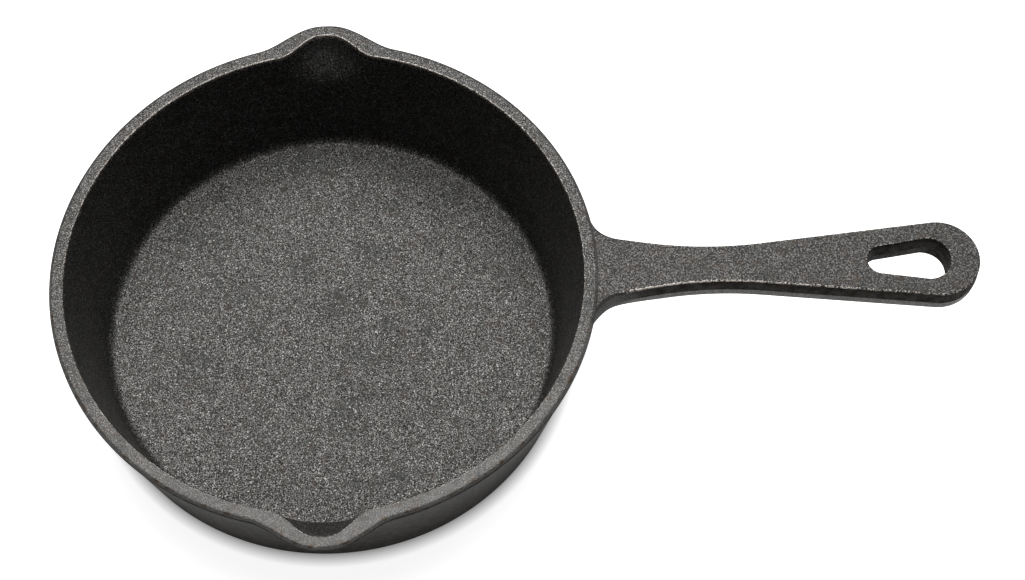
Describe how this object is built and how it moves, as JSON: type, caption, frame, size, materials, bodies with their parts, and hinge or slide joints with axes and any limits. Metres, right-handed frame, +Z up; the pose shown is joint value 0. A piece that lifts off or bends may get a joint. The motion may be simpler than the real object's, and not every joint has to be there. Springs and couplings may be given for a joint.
{
  "type": "skillet",
  "caption": "Small round cast iron skillet with sloping sides, a pour spout on each side, and a long flat handle that widens to a round end with a teardrop hang hole.",
  "frame": {"origin": "centre of the flat underside, on the pan's axis, at the surface it rests on", "axes": "+Z up along the pan's axis, +X from the pan's centre to the handle's tip, +Y towards the right pour spout"},
  "size_m": [0.272, 0.1726, 0.043],
  "materials": {
    "cooking_surface": "coarse sand-cast, semi-matte, seasoned",
    "pan_body": "sand-cast, semi-matte, seasoned",
    "rim": "ground flush, semi-matte, seasoned",
    "handle": "fine sand-cast, semi-matte, seasoned"
  },
  "bodies": {
    "root": {"pan_floor": "cooking_surface", "base_corner": "pan_body", "side_wall": "pan_body", "front_rim": "rim", "rear_rim": "rim", "right_spout": "pan_body", "left_spout": "pan_body", "handle_root": "handle", "handle_grip": "handle", "hang_loop": "handle"}
  },
  "joints": []
}
